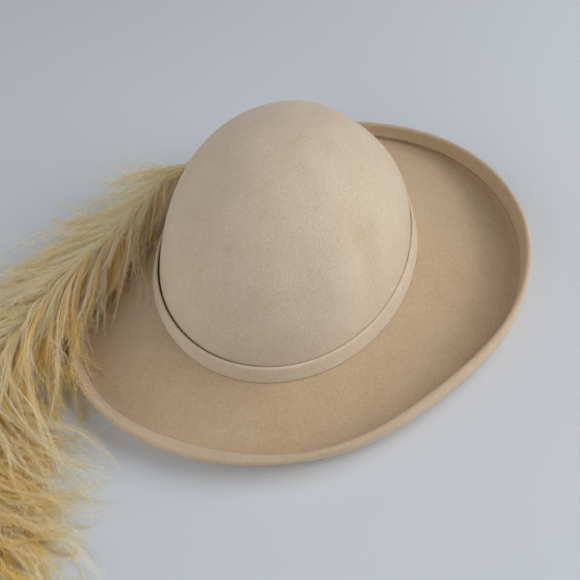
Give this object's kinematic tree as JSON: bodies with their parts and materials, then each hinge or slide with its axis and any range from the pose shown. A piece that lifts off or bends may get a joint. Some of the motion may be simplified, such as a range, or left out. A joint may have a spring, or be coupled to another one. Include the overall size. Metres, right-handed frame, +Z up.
{
  "type": "wide-brim felt hat with ostrich plume",
  "caption": "Wide-brim felt hat with a tall round crown, turned-up hemmed brim, narrow felt band and a long drooping ostrich plume.",
  "frame": {"origin": "on the surface that the hat stands on, under the middle of the whole with its plume", "axes": "+Z up out of the crown, +Y towards the wearer's front, +X towards the wearer's right"},
  "size_m": [0.3892, 0.449, 0.116],
  "materials": {
    "felt": "soft brushed wool felt, matt, with a fine nap",
    "feather": "ostrich plume, fine soft curled barbs, pale cream yellow with golden depths"
  },
  "bodies": {
    "root": {"crown": "felt", "brim": "felt", "hat_band": "felt", "plume": "feather"}
  },
  "joints": []
}
